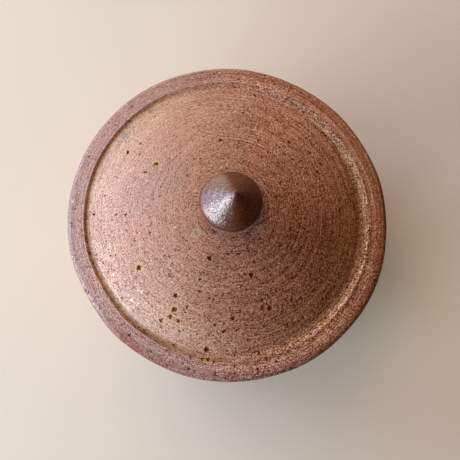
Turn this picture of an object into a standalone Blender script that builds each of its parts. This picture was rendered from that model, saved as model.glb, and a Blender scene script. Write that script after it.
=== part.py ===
"""Salt pot in unglazed stoneware: a thrown pot, its brimmed lid, and the pointed knob on the lid.

Metres, +Z up. The origin is on the table, at the centre of the pot's foot.
Every piece is thrown on a wheel, so each is an outline of (radius, height) points turned round the Z axis.
"""

import math

import bmesh
import bpy

# Pot
POT_HEIGHT = 0.0600  # table to the top of the rim
MOUTH_RADIUS = 0.0405  # clear radius of the mouth
RIM_WIDTH = 0.0050  # wall at the rim, which carries the lid
RIM_INNER_ROUNDING = 0.0010
RIM_OUTER_ROUNDING = 0.0018
BELLY_SWELL = 0.0020  # how far the belly stands out past the rim
BELLY_HEIGHT = 0.0295  # table to the widest circle
WALL = 0.0048  # wall at the belly
FLOOR = 0.0058  # clay under the salt
FLOOR_ROUNDING = 0.0090  # where the floor runs up into the wall
FOOT_RADIUS = 0.0355
FOOT_WIDTH = 0.0046
FOOT_HEIGHT = 0.0034  # table to the ledge that the trimming tool leaves
FOOT_EDGE_ROUNDING = 0.0007
LEDGE_WIDTH = 0.0012
RECESS_DEPTH = 0.0026  # hollow inside the foot ring
RECESS_ROUNDING = 0.0016
THROWING_PITCH = 0.0075  # finger rings up the inside
THROWING_DEPTH = 0.0005

# Lid, whose heights are counted from its seat on the rim
SEAT_CLEARANCE = 0.0003
LID_OVERHANG = 0.0095  # brim past the pot's rim
BRIM_THICKNESS = 0.0057  # seat to the crease, the brim's highest circle
BRIM_FALL = 0.0012  # how much lower the brim's outer edge is
BRIM_TOP_ROUNDING = 0.0017
BRIM_UNDER_ROUNDING = 0.0014
RING_WIDTH = 0.0061  # raised ring, from the crease to the brim's edge
CREASE_ROUNDING = 0.0005
MOAT_DEPTH = 0.0007  # crease to the floor of the moat inside it
MOAT_WIDTH = 0.0019  # crease to the foot of the dome
MOAT_WALL_WIDTH = 0.0014  # sloping wall from the crease down to the moat's floor
MOAT_ROUNDING = 0.0006
DOME_RISE = 0.0140  # floor of the moat to the crown
DOME_FOOT_SLOPE = 32.0  # degrees
DOME_FOOT_ROUNDING = 0.0020
LID_WALL = 0.0050  # clay under the dome
FLANGE_PLAY = 0.0010  # radial room between the locating flange and the mouth
FLANGE_WIDTH = 0.0040
FLANGE_DEPTH = 0.0070
FLANGE_ROUNDING = 0.0012

# Knob, whose heights are counted from its base on the lid's crown
KNOB_CLEARANCE = 0.0003
KNOB_SEAT_MARGIN = 0.0009  # flat crown left showing round the knob's base
KNOB_RADIUS = 0.0098
KNOB_BASE_RADIUS = 0.0076
KNOB_NECK_RADIUS = 0.0064
KNOB_NECK_HEIGHT = 0.0028
KNOB_NECK_ROUNDING = 0.0024
KNOB_SHOULDER_HEIGHT = 0.0086  # base to the widest circle
KNOB_SHOULDER_ROUNDING = 0.0033
KNOB_POINT_HEIGHT = 0.0107  # widest circle to the tip
KNOB_TIP_ROUNDING = 0.0009

# Facets
SEGMENTS = 48  # round the pot and the lid
KNOB_SEGMENTS = 36
WALL_STEP = 0.0034  # along a curved wall
DOME_STEP = 0.0031
QUARTER_TURN_STEPS = 4  # in a rounding of 90 degrees
KNOB_QUARTER_TURN_STEPS = 7
RING_STEPS = 4  # in one finger ring

# Sizes that follow from those above
RIM_RADIUS = MOUTH_RADIUS + RIM_WIDTH
BELLY_RADIUS = RIM_RADIUS + BELLY_SWELL
BASE_RADIUS = FOOT_RADIUS + LEDGE_WIDTH
FLOOR_TOP = RECESS_DEPTH + FLOOR
THROAT_BOTTOM = POT_HEIGHT - 1.5 * FLANGE_DEPTH

LID_RADIUS = RIM_RADIUS + LID_OVERHANG
CREASE_RADIUS = LID_RADIUS - RING_WIDTH
MOAT_FLOOR = BRIM_THICKNESS - MOAT_DEPTH
DOME_FOOT_RADIUS = CREASE_RADIUS - MOAT_WIDTH
CROWN_RADIUS = KNOB_BASE_RADIUS + KNOB_SEAT_MARGIN
CROWN_HEIGHT = MOAT_FLOOR + DOME_RISE
FLANGE_RADIUS = MOUTH_RADIUS - FLANGE_PLAY
FLANGE_INNER_RADIUS = FLANGE_RADIUS - FLANGE_WIDTH


def smooth_step(amount):
    """0 to 1 with level ends, held at 0 and 1 outside."""
    amount = min(max(amount, 0.0), 1.0)
    return amount * amount * (3 - 2 * amount)


def evenly(start, end, step):
    """Numbers from start to end, both included, about a step apart."""
    count = max(2, math.ceil(abs(end - start) / step))
    return [start + (end - start) * i / count for i in range(count + 1)]


def arc(centre, radius, start, end, quarter_turn_steps=QUARTER_TURN_STEPS):
    """Points on an arc, with its angles in radians from the +radius direction."""
    steps = max(2, round(quarter_turn_steps * abs(end - start) / (math.pi / 2)))
    angles = [start + (end - start) * i / steps for i in range(steps + 1)]
    return [(centre[0] + radius * math.cos(a), centre[1] + radius * math.sin(a)) for a in angles]


def round_corner(before, corner, after, rounding):
    """The arc that rounds a corner, kept short enough for the runs on its two sides."""
    run_in = (before[0] - corner[0], before[1] - corner[1])
    run_out = (after[0] - corner[0], after[1] - corner[1])
    length_in = math.hypot(*run_in)
    length_out = math.hypot(*run_out)
    turn_in = math.atan2(run_in[1], run_in[0])
    turn_out = math.atan2(run_out[1], run_out[0])
    opening = (turn_out - turn_in + math.pi) % math.tau - math.pi
    half = abs(opening) / 2
    tangent = min(rounding / math.tan(half), 0.48 * length_in, 0.48 * length_out)
    radius = tangent * math.tan(half)
    middle = turn_in + opening / 2
    reach = radius / math.sin(half)
    centre = (corner[0] + reach * math.cos(middle), corner[1] + reach * math.sin(middle))
    start = (corner[0] + tangent * math.cos(turn_in), corner[1] + tangent * math.sin(turn_in))
    angle = math.atan2(start[1] - centre[1], start[0] - centre[0])
    swing = (math.pi - 2 * half) * (-1 if opening > 0 else 1)
    return arc(centre, radius, angle, angle + swing)


def outline(corners):
    """An outline from (radius, height) corners, where a third value rounds the corner."""
    points = []
    for i, corner in enumerate(corners):
        if len(corner) == 2:
            points.append(corner)
        else:
            points += round_corner(corners[i - 1][:2], corner[:2], corners[i + 1][:2], corner[2])
    return points


def tangent_normal(centre_a, radius_a, centre_b, radius_b):
    """Angle of the normal of the line that touches two circles, the second one from inside if it is negative."""
    across = (centre_b[0] - centre_a[0], centre_b[1] - centre_a[1])
    distance = math.hypot(*across)
    heading = math.atan2(across[1], across[0])
    return heading + math.acos((radius_a - radius_b) / distance)


def turned(name, points, segments, material):
    """A closed solid of revolution, whose outline runs from the axis on top to the axis underneath."""
    shape = bmesh.new()
    verts = [shape.verts.new((radius, 0, height)) for radius, height in points]
    edges = [shape.edges.new(pair) for pair in zip(verts, verts[1:])]
    bmesh.ops.spin(
        shape,
        geom=verts + edges,
        cent=(0, 0, 0),
        axis=(0, 0, 1),
        angle=math.tau,
        steps=segments,
        use_merge=True,
    )
    bmesh.ops.remove_doubles(shape, verts=shape.verts, dist=0.000001)
    bmesh.ops.recalc_face_normals(shape, faces=shape.faces)
    mesh = bpy.data.meshes.new(name)
    shape.to_mesh(mesh)
    shape.free()
    mesh.shade_smooth()
    mesh.set_sharp_from_angle(angle=math.radians(40))
    mesh.materials.append(material)
    solid = bpy.data.objects.new(name, mesh)
    bpy.context.scene.collection.objects.link(solid)
    return solid


def stoneware(name, colour, roughness):
    """Fired clay of one colour."""
    material = bpy.data.materials.new(name)
    material.use_nodes = True
    shader = material.node_tree.nodes["Principled BSDF"]
    shader.inputs["Base Color"].default_value = (*colour, 1)
    shader.inputs["Roughness"].default_value = roughness
    shader.inputs["Metallic"].default_value = 0
    return material


def pot_outside(height):
    """Radius of the pot's outside: a quarter sine out to the belly, then a quarter cosine in to the rim."""
    if height < BELLY_HEIGHT:
        rise = (height - FOOT_HEIGHT) / (BELLY_HEIGHT - FOOT_HEIGHT)
        return BASE_RADIUS + (BELLY_RADIUS - BASE_RADIUS) * math.sin(rise * math.pi / 2)
    rise = (height - BELLY_HEIGHT) / (POT_HEIGHT - BELLY_HEIGHT)
    return BELLY_RADIUS - (BELLY_RADIUS - RIM_RADIUS) * (1 - math.cos(rise * math.pi / 2))


def pot_inside(height):
    """Radius of the pot's inside: the outside less the wall, and a straight throat for the lid's flange."""
    small = 0.0001
    lean = (pot_outside(height + small) - pot_outside(height - small)) / (2 * small)
    wall = WALL * math.hypot(1, lean)
    in_throat = smooth_step(1 - (THROAT_BOTTOM - height) / FLANGE_DEPTH)
    return (pot_outside(height) - wall) * (1 - in_throat) + MOUTH_RADIUS * in_throat


def finger_rings(bottom, top):
    """(height, depth) pairs for the shallow rings that the thrower's fingers leave up the inside."""
    rings = max(1, round((top - bottom) / THROWING_PITCH))
    count = rings * RING_STEPS
    for i in range(count + 1):
        depth = THROWING_DEPTH * (1 - math.cos(math.tau * i / RING_STEPS)) / 2
        yield bottom + (top - bottom) * i / count, depth


def pot_outline():
    """The pot, from the middle of its floor up the inside, over the rim, down the outside and under the foot."""
    wall_start = FLOOR_TOP + FLOOR_ROUNDING
    floor_edge = (pot_inside(FLOOR_TOP + 0.35 * FLOOR_ROUNDING), FLOOR_TOP)
    ring_points = [(pot_inside(z) + depth, z) for z, depth in finger_rings(wall_start, THROAT_BOTTOM)]
    inside = [(0, FLOOR_TOP), (*floor_edge, FLOOR_ROUNDING), *ring_points]
    rim = [
        (MOUTH_RADIUS, POT_HEIGHT, RIM_INNER_ROUNDING),
        (RIM_RADIUS, POT_HEIGHT, RIM_OUTER_ROUNDING),
    ]
    below_rim = POT_HEIGHT - 2 * RIM_OUTER_ROUNDING
    outside = [(pot_outside(z), z) for z in evenly(below_rim, BELLY_HEIGHT, WALL_STEP)]
    outside += [(pot_outside(z), z) for z in evenly(BELLY_HEIGHT, FOOT_HEIGHT, WALL_STEP)[1:]]
    foot_inner = FOOT_RADIUS - FOOT_WIDTH
    foot = [
        (FOOT_RADIUS, FOOT_HEIGHT - FOOT_EDGE_ROUNDING, FOOT_EDGE_ROUNDING),
        (FOOT_RADIUS, 0, FOOT_EDGE_ROUNDING),
        (foot_inner, 0, FOOT_EDGE_ROUNDING),
        (foot_inner, RECESS_DEPTH, RECESS_ROUNDING),
        (0, RECESS_DEPTH),
    ]
    return outline(inside + rim + outside + foot)


def dome_profile():
    """Heights over the moat's floor: (where the slope ends, its height there, its exponent)."""
    slope = math.radians(DOME_FOOT_SLOPE)
    edge = DOME_FOOT_RADIUS - DOME_FOOT_ROUNDING * math.sin(slope)
    edge_height = DOME_FOOT_ROUNDING * (1 - math.cos(slope))
    exponent = math.tan(slope) * (edge - CROWN_RADIUS) / (DOME_RISE - edge_height)
    return edge, edge_height, max(exponent, 1.0)


def dome_top(radius):
    """Height and slope of the dome's outside, which steepens from the crown to its edge."""
    edge, edge_height, exponent = dome_profile()
    rise = DOME_RISE - edge_height
    way = max(radius - CROWN_RADIUS, 0.0) / (edge - CROWN_RADIUS)
    slope = rise * exponent * way ** (exponent - 1) / (edge - CROWN_RADIUS) if way > 0 else 0.0
    return CROWN_HEIGHT - rise * way**exponent, slope


def dome_under(radius):
    """Height of the lid's hollow underside, a wall's thickness in from the outside."""
    height, slope = dome_top(radius)
    return height - LID_WALL * math.hypot(1, slope)


def lid_outline():
    """The lid, from its crown down the dome, through the moat, over the ring, and back in under the brim."""
    slope = math.radians(DOME_FOOT_SLOPE)
    edge = dome_profile()[0]
    dome = [(0, CROWN_HEIGHT)]
    dome += [(radius, dome_top(radius)[0]) for radius in evenly(CROWN_RADIUS, edge, DOME_STEP)]
    foot_centre = (DOME_FOOT_RADIUS, MOAT_FLOOR + DOME_FOOT_ROUNDING)
    dome_foot = arc(foot_centre, DOME_FOOT_ROUNDING, -math.pi / 2 - slope, -math.pi / 2)[1:]
    brim = [
        (CREASE_RADIUS - MOAT_WALL_WIDTH, MOAT_FLOOR, MOAT_ROUNDING),
        (CREASE_RADIUS, BRIM_THICKNESS, CREASE_ROUNDING),
        (LID_RADIUS, BRIM_THICKNESS - BRIM_FALL, BRIM_TOP_ROUNDING),
        (LID_RADIUS, 0, BRIM_UNDER_ROUNDING),
    ]
    flange = [
        (FLANGE_RADIUS, 0, FLANGE_ROUNDING / 2),
        (FLANGE_RADIUS, -FLANGE_DEPTH, FLANGE_ROUNDING),
        (FLANGE_INNER_RADIUS, -FLANGE_DEPTH, FLANGE_ROUNDING),
        (FLANGE_INNER_RADIUS, dome_under(FLANGE_INNER_RADIUS), 2 * FLANGE_ROUNDING),
    ]
    hollow_radii = evenly(FLANGE_INNER_RADIUS, CROWN_RADIUS, DOME_STEP)[1:]
    hollow = [(radius, dome_under(radius)) for radius in hollow_radii]
    return outline(dome + dome_foot + brim + flange + hollow + [(0, dome_under(0))])


def knob_outline():
    """The knob, from its rounded tip down a straight cone, round the shoulder and in to the neck."""
    tip_height = KNOB_SHOULDER_HEIGHT + KNOB_POINT_HEIGHT
    tip = (0, tip_height - KNOB_TIP_ROUNDING)
    shoulder = (KNOB_RADIUS - KNOB_SHOULDER_ROUNDING, KNOB_SHOULDER_HEIGHT)
    neck = (KNOB_NECK_RADIUS + KNOB_NECK_ROUNDING, KNOB_NECK_HEIGHT)
    cone = tangent_normal(tip, KNOB_TIP_ROUNDING, shoulder, KNOB_SHOULDER_ROUNDING)
    underside = tangent_normal(shoulder, KNOB_SHOULDER_ROUNDING, neck, -KNOB_NECK_ROUNDING)
    steps = KNOB_QUARTER_TURN_STEPS
    points = arc(tip, KNOB_TIP_ROUNDING, math.pi / 2, cone, steps)
    points += arc(shoulder, KNOB_SHOULDER_ROUNDING, cone, underside, steps)
    points += arc(neck, KNOB_NECK_ROUNDING, underside + math.pi, math.pi, steps)
    return [*points, (KNOB_BASE_RADIUS, 0), (0, 0)]


def clear_scene():
    for old in list(bpy.data.objects):
        bpy.data.objects.remove(old, do_unlink=True)


def build():
    clear_scene()
    pot_clay = stoneware("pot_clay", (0.215, 0.094, 0.062), 0.80)
    lid_clay = stoneware("lid_clay", (0.260, 0.116, 0.078), 0.75)
    knob_clay = stoneware("knob_clay", (0.085, 0.030, 0.018), 0.35)
    turned("pot", pot_outline(), SEGMENTS, pot_clay)
    lid = turned("lid", lid_outline(), SEGMENTS, lid_clay)
    lid.location.z = POT_HEIGHT + SEAT_CLEARANCE
    knob = turned("knob", knob_outline(), KNOB_SEGMENTS, knob_clay)
    knob.parent = lid
    knob.location.z = CROWN_HEIGHT + KNOB_CLEARANCE


build()
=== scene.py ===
# %% [markdown]
# # A salt pot in unglazed stoneware
# The pot has three pieces: a squat pot that stands on a foot ring, a wide brimmed lid that drops into
# its mouth, and a pointed knob that is luted to the lid with slip. All three are thrown or turned on a
# wheel, so every one is an outline turned round an axis. What makes it look like fired clay is done
# afterwards: the brim wavers, the knob leans, and grains, pits and ash show.

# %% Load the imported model
from math import acos, atan2, ceil, cos, exp, hypot, pi, radians, sin, tan, tau
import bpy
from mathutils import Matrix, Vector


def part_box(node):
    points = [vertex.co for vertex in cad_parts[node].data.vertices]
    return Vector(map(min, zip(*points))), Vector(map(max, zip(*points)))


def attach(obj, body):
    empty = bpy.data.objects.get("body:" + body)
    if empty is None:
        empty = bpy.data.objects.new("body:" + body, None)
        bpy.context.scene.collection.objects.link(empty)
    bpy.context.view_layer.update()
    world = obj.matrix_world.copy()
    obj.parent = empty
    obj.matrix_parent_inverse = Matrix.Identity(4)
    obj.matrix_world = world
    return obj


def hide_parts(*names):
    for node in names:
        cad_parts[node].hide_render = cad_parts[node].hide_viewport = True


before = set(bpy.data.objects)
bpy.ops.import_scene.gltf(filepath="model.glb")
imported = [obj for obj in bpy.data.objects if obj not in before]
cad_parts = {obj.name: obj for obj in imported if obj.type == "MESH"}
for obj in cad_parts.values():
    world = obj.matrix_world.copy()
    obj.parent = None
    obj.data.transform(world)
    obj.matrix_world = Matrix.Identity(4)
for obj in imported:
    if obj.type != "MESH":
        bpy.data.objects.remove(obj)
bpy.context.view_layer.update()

from types import SimpleNamespace

import bpy
from mathutils import Euler, Vector

MM = 0.001
_, POT_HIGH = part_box("pot")
LID_LOW, LID_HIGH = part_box("lid")
KNOB_LOW, KNOB_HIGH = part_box("knob")


# %% [markdown]
# ## The lid's sizes
# The heights are counted from the table. The lid's seat is 0.3 mm over the pot's rim, and the ring's
# crease, the highest circle of the brim, is the level that the camera is set by.

# %% Sizes of the lid
BRIM_WAVER = 0.28 * MM  # how far the brim's edge stands out of round
SEAT_GAP = 0.3 * MM
SEAT_HEIGHT = POT_HIGH.z + SEAT_GAP
CROWN_HEIGHT = LID_HIGH.z
FLANGE_BOTTOM = LID_LOW.z
LID_RADIUS = LID_HIGH.x - BRIM_WAVER
RING_WIDTH = 6.1 * MM
BRIM_THICKNESS = 5.7 * MM
CREASE_RADIUS = LID_RADIUS - RING_WIDTH
CREASE_HEIGHT = SEAT_HEIGHT + BRIM_THICKNESS
print("crease: radius", round(CREASE_RADIUS / MM, 2), "height", round(CREASE_HEIGHT / MM, 2))

# %% [markdown]
# ## The camera
# The photograph looks down on the lid, from a little below its middle and a little to its left. Seen so,
# the brim's circle becomes an ellipse, and its two axes give the tilt. The ring's crease and the knob's
# tip stand higher than the brim's edge, so how far they slide from the centre gives the distance.
# A camera that is turned about X and then Y, in that order, keeps the picture level.

# %% Camera
PICTURE_PIXELS = 460
SENSOR_WIDTH = 36.0
FOCAL_PIXELS = 900.0
CAMERA_TILT = radians(12.24)
CAMERA_LEAN = radians(-3.38)
CAMERA_DISTANCE = 305.5 * MM
CREASE_PIXEL = (229.43, 218.16)  # where the middle of the crease falls, from the picture's top left

camera_data = bpy.data.cameras.new("picture_camera")
camera_data.sensor_width = SENSOR_WIDTH
camera_data.lens = SENSOR_WIDTH * FOCAL_PIXELS / PICTURE_PIXELS
camera = bpy.data.objects.new("picture_camera", camera_data)
bpy.context.scene.collection.objects.link(camera)
bpy.context.scene.camera = camera
camera.rotation_euler = Euler((CAMERA_TILT, CAMERA_LEAN, 0), "XYZ")
turn_of_camera = camera.rotation_euler.to_matrix()
metres_per_pixel = CAMERA_DISTANCE / FOCAL_PIXELS
offset_right = (PICTURE_PIXELS / 2 - CREASE_PIXEL[0]) * metres_per_pixel
offset_up = (CREASE_PIXEL[1] - PICTURE_PIXELS / 2) * metres_per_pixel
camera.location = turn_of_camera @ Vector((offset_right, offset_up, CAMERA_DISTANCE))
camera.location.z += CREASE_HEIGHT
camera_data.clip_start = 10 * MM
print("camera at", [round(c / MM) for c in camera.location], "mm")

# %% [markdown]
# ## One piece at a time
# An operator acts on all that is selected, so each step below first picks one piece alone.

# %% Pick a piece, and count its triangles
def pick(piece):
    """Selects one piece alone and makes it the active one."""
    bpy.ops.object.select_all(action="DESELECT")
    piece.select_set(True)
    bpy.context.view_layer.objects.active = piece


def triangle_count(piece):
    return sum(len(face.vertices) - 2 for face in piece.data.polygons)


# %% [markdown]
# ## A wheel in Blender
# A potter holds a rib against turning clay, and its edge cuts the same outline all round. Spin in edit
# mode would do the same, but at 400 steps it is slow, so a Screw modifier turns the outline. That is
# drawn as by hand: a plane is merged to one vertex, which is extruded from point to point. It runs from
# the axis on top, down the outer side, to the axis underneath, so that the faces come out outwards.

# %% Draw an outline and turn it
MERGE_DISTANCE = 0.001 * MM


def draw_outline(name, points):
    """A wire object through (radius, height) points in the XZ plane."""
    bpy.ops.object.select_all(action="DESELECT")
    bpy.ops.mesh.primitive_plane_add(size=MM, location=(0, 0, 0))
    wire = bpy.context.object
    wire.name = wire.data.name = name
    bpy.ops.object.mode_set(mode="EDIT")
    bpy.ops.mesh.merge(type="CENTER")
    bpy.ops.transform.translate(value=(points[0][0], 0, points[0][1]))
    for here, there in zip(points, points[1:]):
        step = (there[0] - here[0], 0, there[1] - here[1])
        bpy.ops.mesh.extrude_region_move(TRANSFORM_OT_translate={"value": step})
    bpy.ops.object.mode_set(mode="OBJECT")
    return wire


def turn_on_wheel(wire, steps):
    """Turns the outline into a closed body with its poles merged and its faces outwards."""
    wheel = wire.modifiers.new("wheel", "SCREW")
    wheel.axis = "Z"
    wheel.steps = wheel.render_steps = steps
    wheel.use_merge_vertices = True
    wheel.merge_threshold = MERGE_DISTANCE
    bpy.ops.object.modifier_apply(modifier=wheel.name)
    bpy.ops.object.mode_set(mode="EDIT")
    bpy.ops.mesh.select_all(action="SELECT")
    bpy.ops.mesh.remove_doubles(threshold=MERGE_DISTANCE)
    bpy.ops.mesh.normals_make_consistent(inside=False)
    bpy.ops.object.mode_set(mode="OBJECT")
    bpy.ops.object.shade_smooth()
    print(wire.name, "has", triangle_count(wire), "triangles")
    return wire


# %% [markdown]
# An outline is given by its corners, as (radius, height) or (radius, height, rounding). A third number
# rounds the corner with an arc that touches the runs on both its sides.

# %% Round an outline's corners
QUARTER_TURN_STEPS = 6  # points in a rounding of 90 degrees
LONGEST_SHARE = 0.48  # of a run that a rounding at its end may take


def arc(centre, radius, start, end, quarter_turn_steps=QUARTER_TURN_STEPS):
    """Points on an arc, with its angles in radians from the +radius direction."""
    steps = max(2, round(quarter_turn_steps * abs(end - start) / (pi / 2)))
    angles = [start + (end - start) * i / steps for i in range(steps + 1)]
    return [(centre[0] + radius * cos(a), centre[1] + radius * sin(a)) for a in angles]


def round_corner(before, corner, after, rounding):
    """The arc that rounds a corner, kept short enough for the runs beside it."""
    run_in = Vector(before) - Vector(corner)
    run_out = Vector(after) - Vector(corner)
    turn_in = atan2(run_in.y, run_in.x)
    turn_out = atan2(run_out.y, run_out.x)
    opening = (turn_out - turn_in + pi) % tau - pi
    half = abs(opening) / 2
    tangent = min(rounding / tan(half), LONGEST_SHARE * min(run_in.length, run_out.length))
    radius = tangent * tan(half)
    middle = turn_in + opening / 2
    reach = radius / sin(half)
    centre = (corner[0] + reach * cos(middle), corner[1] + reach * sin(middle))
    side = 1 if opening > 0 else -1
    start = turn_in - side * pi / 2
    return arc(centre, radius, start, start - side * (pi - 2 * half))


def rounded(corners):
    """The outline's points, with every corner that has a third value rounded by it."""
    points = []
    for i, corner in enumerate(corners):
        if len(corner) == 2:
            points.append(corner)
        else:
            points += round_corner(corners[i - 1][:2], corner[:2], corners[i + 1][:2], corner[2])
    return points


def evenly(start, end, step):
    """Numbers from start to end, both included, about a step apart."""
    count = max(2, ceil(abs(end - start) / step))
    return [start + (end - start) * i / count for i in range(count + 1)]


# %% [markdown]
# ## The lid's outline
# From the crown the dome falls away slowly and then more steeply, and ends in a hollow foot. A narrow,
# shallow moat follows, and a sloping wall runs up from its floor to the crease, where the ring begins.
# The ring's top falls a little towards the brim's rounded edge. Underneath, a flange drops into the
# pot's mouth, and the dome is hollowed out to an even wall. Ripples of a few hundredths of a
# millimetre are what the turning tool left on the outside.

# %% Dome and moat
MOAT_FLOOR = CREASE_HEIGHT - 0.7 * MM
MOAT_WIDTH = 1.9 * MM
MOAT_WALL_WIDTH = 1.4 * MM
MOAT_ROUNDING = 0.6 * MM
DOME_FOOT_RADIUS = CREASE_RADIUS - MOAT_WIDTH
DOME_FOOT_SLOPE = radians(32)
DOME_FOOT_ROUNDING = 2.0 * MM
CROWN_RADIUS = 8.5 * MM
DOME_STEP = 0.42 * MM
LID_WALL = 5.0 * MM
# Depth and pitch, in mm, and phase of the waves that the turning tool left.
TOOL_RIPPLES = ((0.013, 3.7, 2.0), (0.010, 2.3, 0.0), (0.007, 1.27, 1.1))

slope_edge = DOME_FOOT_RADIUS - DOME_FOOT_ROUNDING * sin(DOME_FOOT_SLOPE)
slope_edge_height = MOAT_FLOOR + DOME_FOOT_ROUNDING * (1 - cos(DOME_FOOT_SLOPE))
dome_rise = CROWN_HEIGHT - slope_edge_height
dome_power = tan(DOME_FOOT_SLOPE) * (slope_edge - CROWN_RADIUS) / dome_rise
print("the dome falls with a power of", round(dome_power, 2))


def tool_ripple(radius):
    """The turning tool's waves together, which fade out under the knob."""
    wave = 0
    for depth, pitch, phase in TOOL_RIPPLES:
        wave += depth * MM * sin(tau * radius / (pitch * MM) + phase)
    return wave * min(1, radius / CROWN_RADIUS)


def dome_height(radius):
    """Height and slope of the dome's outside."""
    way = max(radius - CROWN_RADIUS, 0) / (slope_edge - CROWN_RADIUS)
    slope = dome_rise * dome_power * way ** (dome_power - 1) / (slope_edge - CROWN_RADIUS) if way else 0
    return CROWN_HEIGHT - dome_rise * way**dome_power, slope


def under_dome(radius):
    """Height of the lid's hollow underside."""
    height, slope = dome_height(radius)
    return height - LID_WALL * hypot(1, slope)


# %% Outline of the lid
BRIM_FALL = 1.2 * MM
BRIM_TOP_ROUNDING = 2.4 * MM
BRIM_UNDER_ROUNDING = 1.4 * MM
CREASE_ROUNDING = 0.5 * MM
FLANGE_RADIUS = 39.5 * MM
FLANGE_INNER_RADIUS = 35.5 * MM
FLANGE_ROUNDING = 1.2 * MM
FOOT_QUARTER_TURN_STEPS = 16
RING_TOP = (CREASE_RADIUS + 0.25 * MM, LID_RADIUS - 2.8 * MM, 0.13 * MM)  # from, to and a step
UNDER_BRIM = (50 * MM, 42 * MM, 1.6 * MM)
HOLLOW_STEP = 1.1 * MM
LID_TURN_STEPS = 400

# Lines that the tool's corner cut in the ring, in mm: how far outside the crease, how deep, how wide.
RING_LINES = (
    (0.45, 0.06, 0.16), (1.00, 0.02, 0.14), (1.50, 0.03, 0.16), (2.10, 0.03, 0.16), (2.70, 0.02, 0.16),
)


def ring_height(radius):
    """Height of the ring's top, which falls towards the brim's edge, less the lines cut in it."""
    out = radius - CREASE_RADIUS
    cut = sum(depth * exp(-(((out / MM - place) / width) ** 2)) for place, depth, width in RING_LINES)
    return CREASE_HEIGHT - BRIM_FALL * out / RING_WIDTH - cut * MM


def lid_outline():
    """From the crown down the dome, over the ring, and back in under the brim."""
    dome = [(0, CROWN_HEIGHT), (0.5 * CROWN_RADIUS, CROWN_HEIGHT)]
    for radius in evenly(CROWN_RADIUS, slope_edge, DOME_STEP):
        dome.append((radius, dome_height(radius)[0] + tool_ripple(radius)))
    foot_centre = (DOME_FOOT_RADIUS, MOAT_FLOOR + DOME_FOOT_ROUNDING)
    foot_start = -pi / 2 - DOME_FOOT_SLOPE
    foot = arc(foot_centre, DOME_FOOT_ROUNDING, foot_start, -pi / 2, FOOT_QUARTER_TURN_STEPS)[1:]
    brim = [
        (CREASE_RADIUS - MOAT_WALL_WIDTH, MOAT_FLOOR, MOAT_ROUNDING),
        (CREASE_RADIUS, CREASE_HEIGHT, CREASE_ROUNDING),
        *[(radius, ring_height(radius)) for radius in evenly(*RING_TOP)],
        (LID_RADIUS, CREASE_HEIGHT - BRIM_FALL, BRIM_TOP_ROUNDING),
        (LID_RADIUS, SEAT_HEIGHT, BRIM_UNDER_ROUNDING),
    ]
    under_brim = [(radius, SEAT_HEIGHT) for radius in evenly(*UNDER_BRIM)]
    flange = [
        (FLANGE_RADIUS, SEAT_HEIGHT, FLANGE_ROUNDING / 2),
        (FLANGE_RADIUS, FLANGE_BOTTOM, FLANGE_ROUNDING),
        (FLANGE_INNER_RADIUS, FLANGE_BOTTOM, FLANGE_ROUNDING),
        (FLANGE_INNER_RADIUS, under_dome(FLANGE_INNER_RADIUS), 2 * FLANGE_ROUNDING),
    ]
    hollow_radii = evenly(FLANGE_INNER_RADIUS, CROWN_RADIUS, HOLLOW_STEP)[3:]
    hollow = [(radius, under_dome(radius) + 3 * tool_ripple(radius)) for radius in hollow_radii]
    return rounded(dome + foot + brim + under_brim + flange + hollow + [(0, under_dome(0))])


thrown_lid = turn_on_wheel(draw_outline("thrown_lid", lid_outline()), LID_TURN_STEPS)

# %% [markdown]
# ## Out of true
# Wet clay doesn't stay round. The dome and the crease sit half a millimetre to the left of the brim's
# edge, so the ring is narrower on that side, and the edge itself wavers by a few tenths.
# Both are pulls with proportional editing: what is near the chosen points comes along, less and less.

# %% Pull clay out of true
DOME_SHIFT = (-0.55 * MM, 0.23 * MM, 0)
DOME_SHIFT_REACH = 3.5 * MM


def pull(piece, chosen, by, reach):
    """Moves the chosen points of a piece, and softly what lies within reach of them."""
    pick(piece)
    for part in (*piece.data.polygons, *piece.data.edges):
        part.select = False
    for point in piece.data.vertices:
        point.select = chosen(point.co)
    bpy.ops.object.mode_set(mode="EDIT")
    soft = {"use_proportional_edit": True, "proportional_edit_falloff": "SMOOTH"}
    bpy.ops.transform.translate(value=by, proportional_size=reach, **soft)
    bpy.ops.object.mode_set(mode="OBJECT")


def on_dome(point):
    return hypot(point.x, point.y) < CREASE_RADIUS + 0.8 * MM and point.z > MOAT_FLOOR - 0.5 * MM


pull(thrown_lid, on_dome, DOME_SHIFT, DOME_SHIFT_REACH)

# %% [markdown]
# Inside the crease the dome sits further still to the left, so the moat is narrow there and wide on
# the right. The reach is short, so that the crease stays where it is.

# %% Narrow the moat on the left
DOME_LEAN = (-0.8 * MM, 0.1 * MM, 0)
DOME_LEAN_REACH = 1.3 * MM


def inside_moat(point):
    away = hypot(point.x - DOME_SHIFT[0], point.y - DOME_SHIFT[1])
    return away < DOME_FOOT_RADIUS + 0.1 * MM and point.z > MOAT_FLOOR - 0.1 * MM


pull(thrown_lid, inside_moat, DOME_LEAN, DOME_LEAN_REACH)

# %% Waver of the brim
# Degrees anticlockwise from the right, seen from above, and how far the edge stands out there, in mm.
BRIM_PULLS = (
    (0, -0.30), (30, -0.22), (60, -0.14), (90, 0.22), (120, 0.17),
    (210, -0.42), (240, -0.20), (300, 0.25), (330, 0.17),
)
PULL_REACH = 14 * MM
EDGE_GRIP = 3.5 * MM  # how far round it a pull takes hold of the edge

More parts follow.
